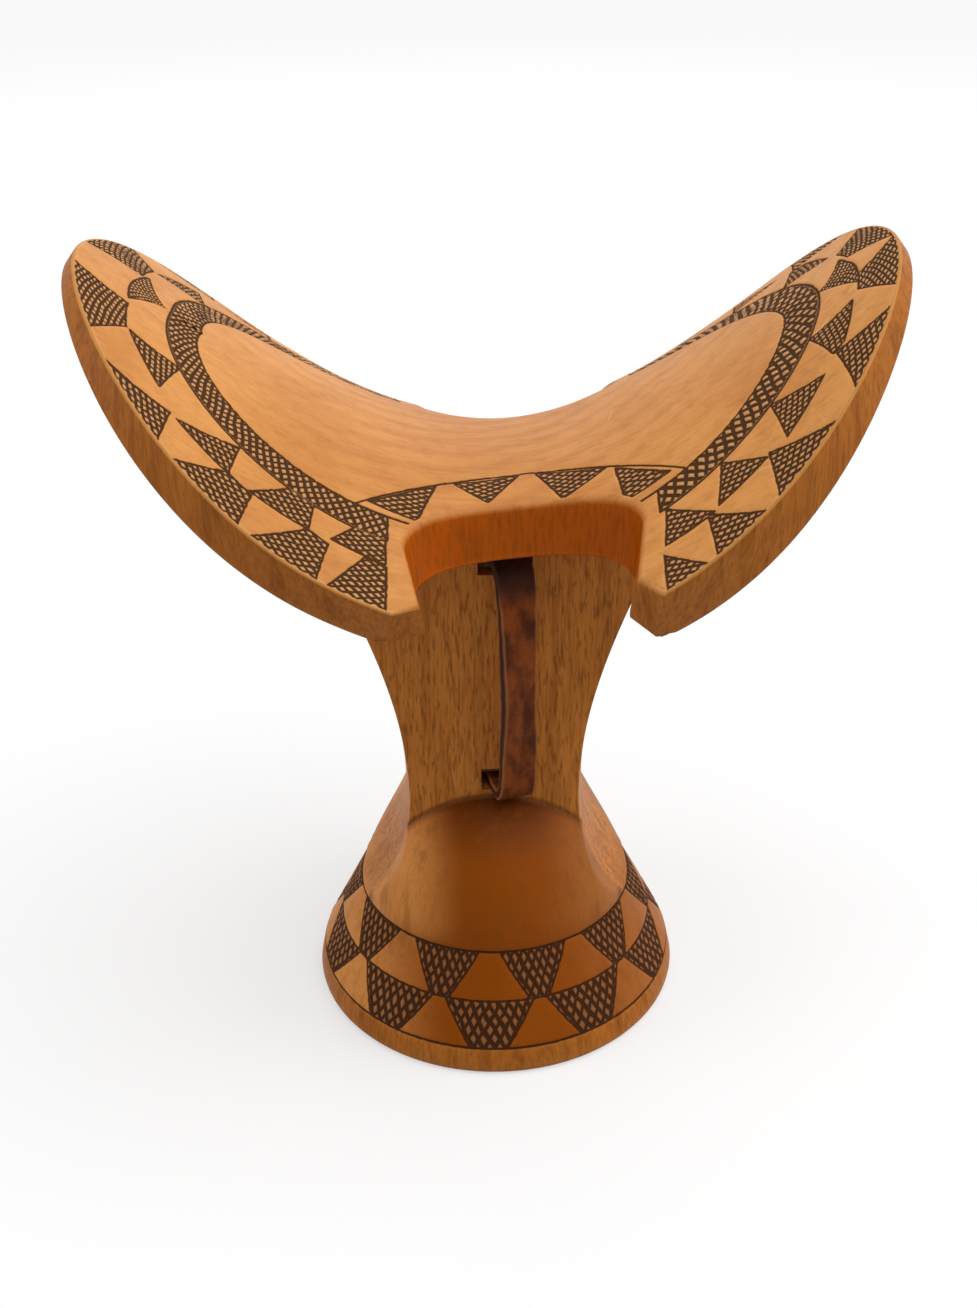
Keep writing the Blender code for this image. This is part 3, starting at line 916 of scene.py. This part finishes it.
def store_hatch(mesh, fields):
    """Put the hatch phases on face corners, so that they run on across the foot's seam."""
    corners = np.empty(len(mesh.loops), np.int32)
    mesh.loops.foreach_get("vertex_index", corners)
    along, across, top = (fields[corners, FIELDS.index(name)] for name in ("along", "across", "top"))
    starts = np.empty(len(mesh.polygons), np.int32)
    mesh.polygons.foreach_get("loop_start", starts)
    sizes = np.diff(np.append(starts, len(corners)))
    most = np.repeat(np.maximum.reduceat(along, starts), sizes)
    behind = (top < 0.5) & (most - along > FOOT_HATCH_COUNT / 2)
    along = along + FOOT_HATCH_COUNT * behind
    for name, values in (("hatch_a", along + across), ("hatch_b", along - across)):
        attribute = mesh.attributes.new(name, "FLOAT", "CORNER")
        attribute.data.foreach_set("value", values.astype(np.float32))


def store_fields(mesh, fields, names):
    for name in names:
        attribute = mesh.attributes.new(name, "FLOAT", "POINT")
        attribute.data.foreach_set("value", fields[:, FIELDS.index(name)].astype(np.float32))


def carved_body(material):
    plate, body = saddle_shell(), body_shell()
    notches = [notch_shell(-1), notch_shell(1)]
    slots = [slot_shell(STRAP_TOP, -1), slot_shell(STRAP_BOTTOM, 1)]
    piece = body.build("carved_stool")
    boolean(piece, plate.build("plate"), "UNION")
    for cutter in notches + slots:
        boolean(piece, cutter.build("cutter"), "DIFFERENCE")
    mesh = piece.data
    mesh.name = "carved_stool"
    mesh.shade_smooth()
    mesh.set_sharp_from_angle(angle=WOOD_SHARP)
    fields = nearest_fields(mesh, [plate, body] + notches + slots)
    carve(mesh, fields)
    store_hatch(mesh, fields)
    store_fields(mesh, fields, FIELDS[2:])
    mesh.materials.clear()
    mesh.materials.append(material)
    return piece


def bezier(a, b, c, d, t):
    return a * (1 - t) ** 3 + 3 * b * t * (1 - t) ** 2 + 3 * c * t ** 2 * (1 - t) + d * t ** 3


def strap_path():
    """Middle line of the strap as (distance out from the pivot, height), from its upper to its lower end."""
    leave = PIVOT_DEPTH + STRAP_EXIT
    out = PIVOT_DEPTH + STRAP_BOW
    middle = (STRAP_TOP + STRAP_BOTTOM) / 2
    reach = (STRAP_TOP - STRAP_BOTTOM) / 2
    shoulder = [np.array(p) for p in ((leave, STRAP_TOP), (out, STRAP_TOP),
                                      (out, middle + reach * STRAP_FULLNESS), (out, middle))]
    upper = [bezier(*shoulder, k / STRAP_STATIONS) for k in range(STRAP_STATIONS + 1)]
    lower = [np.array((p[0], STRAP_TOP + STRAP_BOTTOM - p[1])) for p in reversed(upper[:-1])]
    tail = np.linspace(-TAIL_LENGTH, leave, TAIL_STATIONS)[:-1]
    start = [np.array((out_by, STRAP_TOP)) for out_by in tail]
    end = [np.array((out_by, STRAP_BOTTOM)) for out_by in reversed(tail)]
    return np.array(start + upper + lower + end)


def strap(material):
    """Leather strip about its pivot: soft corners, a twist in its middle, a slightly uneven width."""
    path = strap_path()
    along = np.gradient(path, axis=0)
    along /= np.linalg.norm(along, axis=1, keepdims=True)
    across = np.stack([along[:, 1], -along[:, 0]], -1)
    length = np.concatenate([[0.0], np.cumsum(np.linalg.norm(np.diff(path, axis=0), axis=1))])
    outline = np.array(strap_outline())
    shell = Shell()
    rings = []
    for k, (out, z) in enumerate(path):
        width = 1.0
        for size, rate, start in WIDTH_WAVES:
            width -= size * (1 + math.sin(length[k] * rate + start))
        side = outline[:, 0] * width * STRAP_WIDTH / 2
        face = outline[:, 1] * STRAP_THICKNESS / 2
        height_share = (z - STRAP_BOTTOM) / (STRAP_TOP - STRAP_BOTTOM)
        twist = STRAP_TWIST * math.sin(math.pi * height_share) ** 2
        corner_x, corner_y = side, -across[k][0] * face
        turned_x = corner_x * math.cos(twist) - corner_y * math.sin(twist)
        turned_y = corner_x * math.sin(twist) + corner_y * math.cos(twist)
        points = np.stack([turned_x, turned_y - out, z + across[k][1] * face], -1)
        rings.append(shell.ring(points, edge=outline[:, 2], wear=outline[:, 3]))
    shell.chain(rings)
    shell.cap(rings[0], shell.points[0].mean(axis=0))
    shell.cap(rings[-1], shell.points[len(path) - 1].mean(axis=0))
    piece = shell.build("leather_strap")
    store_fields(piece.data, nearest_fields(piece.data, [shell]), ("edge", "wear"))
    placed = Matrix.Translation(Vector((STRAP_OFFSET, -FACE_Y + PIVOT_DEPTH, 0.0)) * MM)
    piece.data.transform(placed @ Matrix.Rotation(STRAP_LEAN, 4, "Z"))
    piece.data.shade_smooth()
    piece.data.set_sharp_from_angle(angle=LEATHER_SHARP)
    piece.data.materials.append(material)
    return piece


def strap_outline():
    """Cross-section of the strap: shares of its half width and half thickness, cut edge, worn corner."""
    quarter = [(1.0, 0.35, 1.0, 0.0), (1.0, 0.68, 1.0, 0.4), (0.976, 0.92, 0.5, 1.0), (0.92, 1.0, 0.0, 0.4),
               (0.84, 1.0, 0.0, 0.0), (0.45, 1.0, 0.0, 0.0)]
    right_top = quarter
    left_top = [(-s, f, e, w) for s, f, e, w in reversed(quarter)]
    left_low = [(-s, -f, e, w) for s, f, e, w in quarter]
    right_low = [(s, -f, e, w) for s, f, e, w in reversed(quarter)]
    return right_top + [(0.0, 1.0, 0.0, 0.0)] + left_top + left_low + [(0.0, -1.0, 0.0, 0.0)] + right_low


class Nodes:
    """Short way to wire a node tree."""

    def __init__(self, tree):
        self.tree = tree

    def set(self, socket, value):
        if isinstance(value, bpy.types.NodeSocket):
            self.tree.links.new(value, socket)
        else:
            socket.default_value = value

    def node(self, kind, inputs, **settings):
        """Add a node with its settings, and give its sockets their values or links."""
        node = self.tree.nodes.new(kind)
        for name, value in settings.items():
            setattr(node, name, value)
        for name, value in inputs.items():
            self.set(node.inputs[name], value)
        return node

    def math(self, operation, *values):
        return self.node("ShaderNodeMath", dict(enumerate(values)), operation=operation).outputs[0]

    def times(self, one, other):
        return self.math("MULTIPLY", one, other)

    def plus(self, one, other):
        return self.math("ADD", one, other)

    def rest(self, share):
        return self.math("SUBTRACT", 1.0, share)

    def most(self, value, *others):
        for other in others:
            value = self.math("MAXIMUM", value, other)
        return value

    def value(self, name):
        return self.node("ShaderNodeAttribute", {}, attribute_name=name).outputs["Fac"]

    def step(self, value, low, high):
        """Smooth step of a value from 0 at low to 1 at high."""
        inputs = {"Value": value, "From Min": low, "From Max": high}
        return self.node("ShaderNodeMapRange", inputs, interpolation_type="SMOOTHSTEP").outputs["Result"]

    def mix(self, share, one, other):
        """Colour between two others, each a socket or a tone in 8-bit levels."""
        one, other = (srgb(*tone) if isinstance(tone, tuple) else tone for tone in (one, other))
        return self.node("ShaderNodeMix", {"Factor": share, 6: one, 7: other}, data_type="RGBA").outputs[2]

    def layered(self, colour, layers):
        """Colour under layers of other ones, each with a share, its strength and a tone."""
        for share, strength, tone in layers:
            colour = self.mix(self.times(share, strength), colour, tone)
        return colour

    def blend(self, share, one, other):
        """Number between two others."""
        return self.node("ShaderNodeMix", {"Factor": share, 2: one, 3: other}, data_type="FLOAT").outputs[0]

    def place(self):
        """Object coordinates."""
        return self.node("ShaderNodeTexCoord", {}).outputs["Object"]

    def sides(self):
        """Object coordinates, one by one."""
        return self.node("ShaderNodeSeparateXYZ", {0: self.place()}).outputs

    def mapped(self, scale, location=(0.0, 0.0, 0.0)):
        """Object coordinates, stretched and moved."""
        inputs = {"Vector": self.place(), "Location": location, "Scale": scale}
        return self.node("ShaderNodeMapping", inputs).outputs["Vector"]

    def noise(self, vector, scale, detail=3.0, roughness=0.5, distortion=0.0):
        inputs = {"Vector": vector, "Scale": scale, "Detail": detail, "Roughness": roughness,
                  "Distortion": distortion}
        return self.node("ShaderNodeTexNoise", inputs).outputs["Fac"]

    def growth_rings(self):
        """Soft rings about an upright pith behind the stool."""
        inputs = {"Vector": self.mapped((100.0, 100.0, 12.0), (3.0, -9.0, 0.0)), "Scale": 0.5,
                  "Distortion": 5.0, "Detail": 3.0, "Detail Scale": 0.8}
        return self.node("ShaderNodeTexWave", inputs, wave_type="RINGS", rings_direction="Z").outputs["Fac"]

    def scratches(self):
        """Share of a few thin, broken, light scratches."""
        inputs = {"Vector": self.mapped((62.0, 48.0, 30.0), (2.4, 0.7, 0.0)), "Scale": 1.0}
        cells = self.node("ShaderNodeTexVoronoi", inputs, feature="DISTANCE_TO_EDGE")
        line = self.rest(self.step(cells.outputs["Distance"], 0.004, 0.012))
        gaps = self.noise(self.mapped((1.0, 1.0, 1.0), (0.3, 0.0, 0.0)), 110.0, 2.0)
        return self.times(self.times(line, self.step(gaps, 0.56, 0.66)), 0.5)

    def bump(self, height, strength, distance, **under):
        inputs = {"Strength": strength, "Distance": distance, "Height": height, **under}
        return self.node("ShaderNodeBump", inputs).outputs["Normal"]


class Looks(Nodes):
    """A material's nodes, up to its shader."""

    def __init__(self, name):
        self.material = bpy.data.materials.new(name)
        self.material.use_nodes = True
        super().__init__(self.material.node_tree)

    def shade(self, inputs):
        """Give the shader's sockets their values or links, and return the material."""
        shader = self.tree.nodes["Principled BSDF"]
        for name, value in inputs.items():
            self.set(shader.inputs[name], value)
        return self.material


def srgb(red, green, blue):
    """Linear colour of an 8-bit display colour."""
    values = []
    for level in (red, green, blue):
        share = level / 255
        values.append(share / 12.92 if share <= 0.04045 else ((share + 0.055) / 1.055) ** 2.4)
    return (*values, 1.0)


def hatch_lines(nodes, phase, wobble, width):
    """Dark share of one family of hatch lines: 1 on a line, 0 between; width is a share of their spacing."""
    wrapped = nodes.math("FRACT", nodes.plus(phase, wobble))
    folded = nodes.math("ABSOLUTE", nodes.math("SUBTRACT", wrapped, 0.5))
    return nodes.step(folded, 0.44 - width / 2, 0.56 - width / 2)


def uneven(nodes, scale, amount):
    """Noise about zero, for the unsteadiness of a hand-held knife."""
    noise = nodes.noise(nodes.place(), scale, 2.0)
    return nodes.times(nodes.math("SUBTRACT", noise, 0.5), amount)


def incised(nodes):
    """Where the surface is hatched, and how dark the burnt lines are there."""
    families = (("hatch_a", 210.0, 0.52), ("hatch_b", 260.0, 0.42))
    lines = nodes.most(*(hatch_lines(nodes, nodes.value(name), uneven(nodes, scale, 0.75), width)
                         for name, scale, width in families))
    hatch = nodes.plus(nodes.value("hatch"), uneven(nodes, 900.0, 0.45))
    inside = nodes.step(hatch, -0.05, 0.15)
    outline = nodes.rest(nodes.step(nodes.math("ABSOLUTE", hatch), 0.16, 0.36))
    frame_edge = nodes.plus(nodes.value("frame"), uneven(nodes, 700.0, 0.3))
    framed = nodes.rest(nodes.step(nodes.math("ABSOLUTE", frame_edge), 0.18, 0.42))
    return inside, nodes.most(nodes.times(lines, inside), outline, framed)


def carved_wood():
    """Oiled wood with upright grain, darker below and in the notches, with burnt incised bands; painted
    highlights on the dome's shoulders, painted shade in its crease and in the seat's middle, painted shadow
    of the strap.
    """
    nodes = Looks("carved_wood_looks")
    top, wall, notch, dome = (nodes.value(name) for name in ("top", "wall", "notch", "dome"))
    upright = nodes.noise(nodes.mapped((1500.0, 1500.0, 110.0)), 1.0, 4.0, 0.65)
    lengthwise = nodes.noise(nodes.mapped((70.0, 1500.0, 500.0)), 1.0, 4.0, 0.6, 0.3)
    streak = nodes.noise(nodes.mapped((330.0, 330.0, 18.0)), 1.0, 3.0, 0.55)
    blotch = nodes.noise(nodes.mapped((40.0, 40.0, 26.0)), 1.0, 3.0, 0.5)
    speck = nodes.noise(nodes.mapped((1400.0, 1400.0, 230.0), (3.0, 1.0, 0.0)), 1.0, 2.0, 0.5)
    flecks = nodes.step(speck, 0.52, 0.66)
    sides = nodes.sides()
    aside = nodes.math("ABSOLUTE", sides["X"])

    # Painted highlights on the dome's left and right shoulders
    tightening = nodes.blend(nodes.step(sides["Z"], 0.024, 0.034), 1.0, 1.6)
    sideways = nodes.times(sides["X"], tightening)
    # Painted shadow of the strap, with some grime, on the dome's top below it
    under_strap = nodes.rest(nodes.step(aside, 0.008, 0.020))
    shadowed_and_grimed = nodes.times(nodes.step(sides["Z"], 0.045, 0.058), under_strap)
    shoulder = nodes.layered(DOME_TONE, (
        (nodes.step(sideways, 0.012, 0.048), 1.0, DOME_RIGHT_HIGHLIGHT_TONE),
        (nodes.step(sideways, -0.010, -0.036), 1.0, DOME_LEFT_HIGHLIGHT_TONE),
        (shadowed_and_grimed, 0.85, STRAP_SHADOW_AND_GRIME_TONE),
    ))

    middling = nodes.times(top, nodes.rest(nodes.step(aside, 0.012, 0.046)))
    figured = nodes.plus(nodes.times(top, 0.12), nodes.times(middling, 0.22))
    streaky = nodes.plus(nodes.blend(top, 0.40, 0.14), nodes.times(wall, 0.22))
    hair = nodes.blend(top, nodes.step(upright, 0.42, 0.70), nodes.step(lengthwise, 0.46, 0.72))
    hairy = nodes.math("SUBTRACT", nodes.blend(top, 0.46, 0.20), nodes.times(dome, 0.28))
    smooth = nodes.most(nodes.times(top, 0.96), nodes.times(dome, 0.85), nodes.times(notch, 0.95),
                        nodes.times(wall, 0.55))
    grainy = nodes.times(nodes.rest(smooth), 0.42)
    scratched = nodes.times(top, nodes.step(sides["X"], 0.010, 0.024))
    inside, dark = incised(nodes)
    colour = nodes.layered(COLUMN_TONE, (
        (dome, 1.0, shoulder),
        (top, 1.0, TOP_TONE),
        (wall, 1.0, WALL_TONE),
        (notch, 1.0, NOTCH_TONE),
        (nodes.step(blotch, 0.38, 0.72), 0.28, BLOTCH_TONE),
        (nodes.step(nodes.growth_rings(), 0.35, 0.95), figured, RING_TONE),
        # painted shade in the seat's middle, between the wings
        (middling, 0.25, MIDDLE_SHADE_TONE),
        (nodes.step(streak, 0.46, 0.75), streaky, STREAK_TONE),
        (hair, hairy, HAIR_TONE),
        (flecks, grainy, FLECK_TONE),
        # painted shade along the dome's crease
        (nodes.value("edge"), 0.8, PAINTED_CREASE_SHADE_TONE),
        (nodes.value("wear"), 0.5, WEAR_TONE),
        (nodes.scratches(), scratched, SCRATCH_TONE),
        (inside, 0.75, nodes.mix(top, LOW_HATCH_TONE, TOP_HATCH_TONE)),
        (dark, 0.94, BURNT_TONE),
    ))

    rough = nodes.plus(0.38, nodes.times(streak, 0.14))
    pores = nodes.math("SUBTRACT", nodes.times(upright, 0.5), nodes.times(flecks, grainy))
    grain = nodes.bump(pores, 0.16, 0.0002)
    return nodes.shade({
        "Base Color": colour,
        "Roughness": nodes.plus(rough, nodes.times(dark, 0.3)),
        "Specular IOR Level": 0.07,
        "Normal": nodes.bump(nodes.rest(dark), 0.5, 0.0003, Normal=grain),
    })


def leather():
    """Worn brown leather, dark at the cut edges, rubbed pale at its corners, with a painted shadow of the
    saddle at its top.
    """
    nodes = Looks("leather_looks")
    mottle = nodes.noise(nodes.mapped((200.0, 200.0, 110.0)), 1.0, 4.0, 0.6)
    pore = nodes.noise(nodes.place(), 1600.0, 3.0, 0.6)
    colour = nodes.layered(LEATHER_TONE, (
        (nodes.step(mottle, 0.36, 0.66), 1.0, MOTTLE_TONE),
        (nodes.step(pore, 0.45, 0.75), 0.35, PORE_TONE),
        (nodes.value("edge"), 1.0, CUT_TONE),
        (nodes.value("wear"), 0.5, RUBBED_TONE),
        # painted shadow of the saddle over the strap's upper end
        (nodes.step(nodes.sides()["Z"], 0.1100, 0.1165), 0.85, SADDLE_SHADOW_TONE),
    ))
    return nodes.shade({
        "Base Color": colour,
        "Roughness": nodes.plus(0.55, nodes.times(mottle, 0.25)),
        "Specular IOR Level": 0.12,
        "Normal": nodes.bump(pore, 0.35, 0.0002),
    })


def wedge_wood():
    """Raw wood of the wedges, streaked along their length."""
    nodes = Looks("wedge_wood_looks")
    streak = nodes.noise(nodes.mapped((900.0, 90.0, 900.0)), 1.0, 4.0, 0.6)
    return nodes.shade({
        "Base Color": nodes.mix(nodes.step(streak, 0.35, 0.7), WEDGE_TONE, WEDGE_STREAK_TONE),
        "Roughness": nodes.plus(0.55, nodes.times(streak, 0.2)),
    })


def camera():
    """The photograph's camera."""
    forward = Vector(CAMERA_FORWARD).normalized()
    up = Vector(CAMERA_RIGHT).normalized().cross(forward).normalized()
    right = forward.cross(up)
    data = bpy.data.cameras.new("camera")
    data.sensor_fit = "VERTICAL"
    data.sensor_height = SENSOR
    data.lens = FOCAL_PIXELS / PHOTO_HEIGHT * SENSOR
    data.clip_start = NEAR_CLIP
    obj = bpy.data.objects.new("camera", data)
    turn = Matrix((right, up, -forward)).transposed().to_4x4()
    obj.matrix_world = Matrix.Translation(CAMERA_PLACE) @ turn
    bpy.context.scene.collection.objects.link(obj)
    bpy.context.scene.camera = obj


def place_light(name, kind, place, target, power):
    data = bpy.data.lights.new(name, kind)
    data.energy = power
    obj = bpy.data.objects.new(name, data)
    obj.location = place
    obj.rotation_euler = (Vector(target) - Vector(place)).to_track_quat("-Z", "Y").to_euler()
    obj.visible_camera = False
    bpy.context.scene.collection.objects.link(obj)
    return data


def seen_level(nodes, low, high):
    """One strength for the light on the object, and another for the surroundings as they are seen.

    They are seen by rays from the camera, mirrored or through glass.
    """
    path = nodes.node("ShaderNodeLightPath", {}).outputs
    seen = nodes.most(*(path[name] for name in ("Is Camera Ray", "Is Glossy Ray", "Is Transmission Ray")))
    return nodes.node("ShaderNodeMapRange", {"Value": seen, "To Min": low, "To Max": high}).outputs["Result"]


def studio():
    """Pale floor, white surroundings and soft light from above."""
    mesh = bpy.data.meshes.new("floor")
    corners = ((-1, -1), (1, -1), (1, 1), (-1, 1))
    mesh.from_pydata([(x * FLOOR_REACH, y * FLOOR_REACH, 0) for x, y in corners], [], [(0, 1, 2, 3)])
    floor = bpy.data.objects.new("floor", mesh)
    bpy.context.scene.collection.objects.link(floor)
    looks = Looks("floor_looks")
    mesh.materials.append(looks.shade({
        "Base Color": FLOOR_COLOUR,
        "Roughness": 0.9,
        "Specular IOR Level": 0.0,
        "Emission Color": WHITE,
        "Emission Strength": seen_level(looks, 0.0, FLOOR_GLOW),
    }))

    world = bpy.data.worlds.new("studio")
    bpy.context.scene.world = world
    world.use_nodes = True
    nodes = Nodes(world.node_tree)
    background = world.node_tree.nodes["Background"].inputs
    nodes.set(background["Color"], WHITE)
    nodes.set(background["Strength"], seen_level(nodes, SKY_LIGHT, SKY_SEEN))

    key = place_light("key", "SUN", KEY_PLACE, (0.0, 0.0, 0.0), KEY_POWER)
    key.angle = KEY_ANGLE
    for name, place, power in SOFTBOXES:
        lamp = place_light(name, "AREA", place, SOFTBOX_AIM, power)
        lamp.shape = "DISK"
        lamp.size = SOFTBOX_SIZE


def main():
    body = carved_body(carved_wood())
    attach(body, "stool")
    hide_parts("carved_body")
    strip = strap(leather())
    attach(strip, "strap")
    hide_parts("strap")
    wedge_looks = wedge_wood()
    for name in ("upper_wedge", "lower_wedge"):
        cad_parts[name].data.materials.clear()
        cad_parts[name].data.materials.append(wedge_looks)
    camera()
    studio()
    bpy.context.scene.view_settings.view_transform = "Standard"


main()
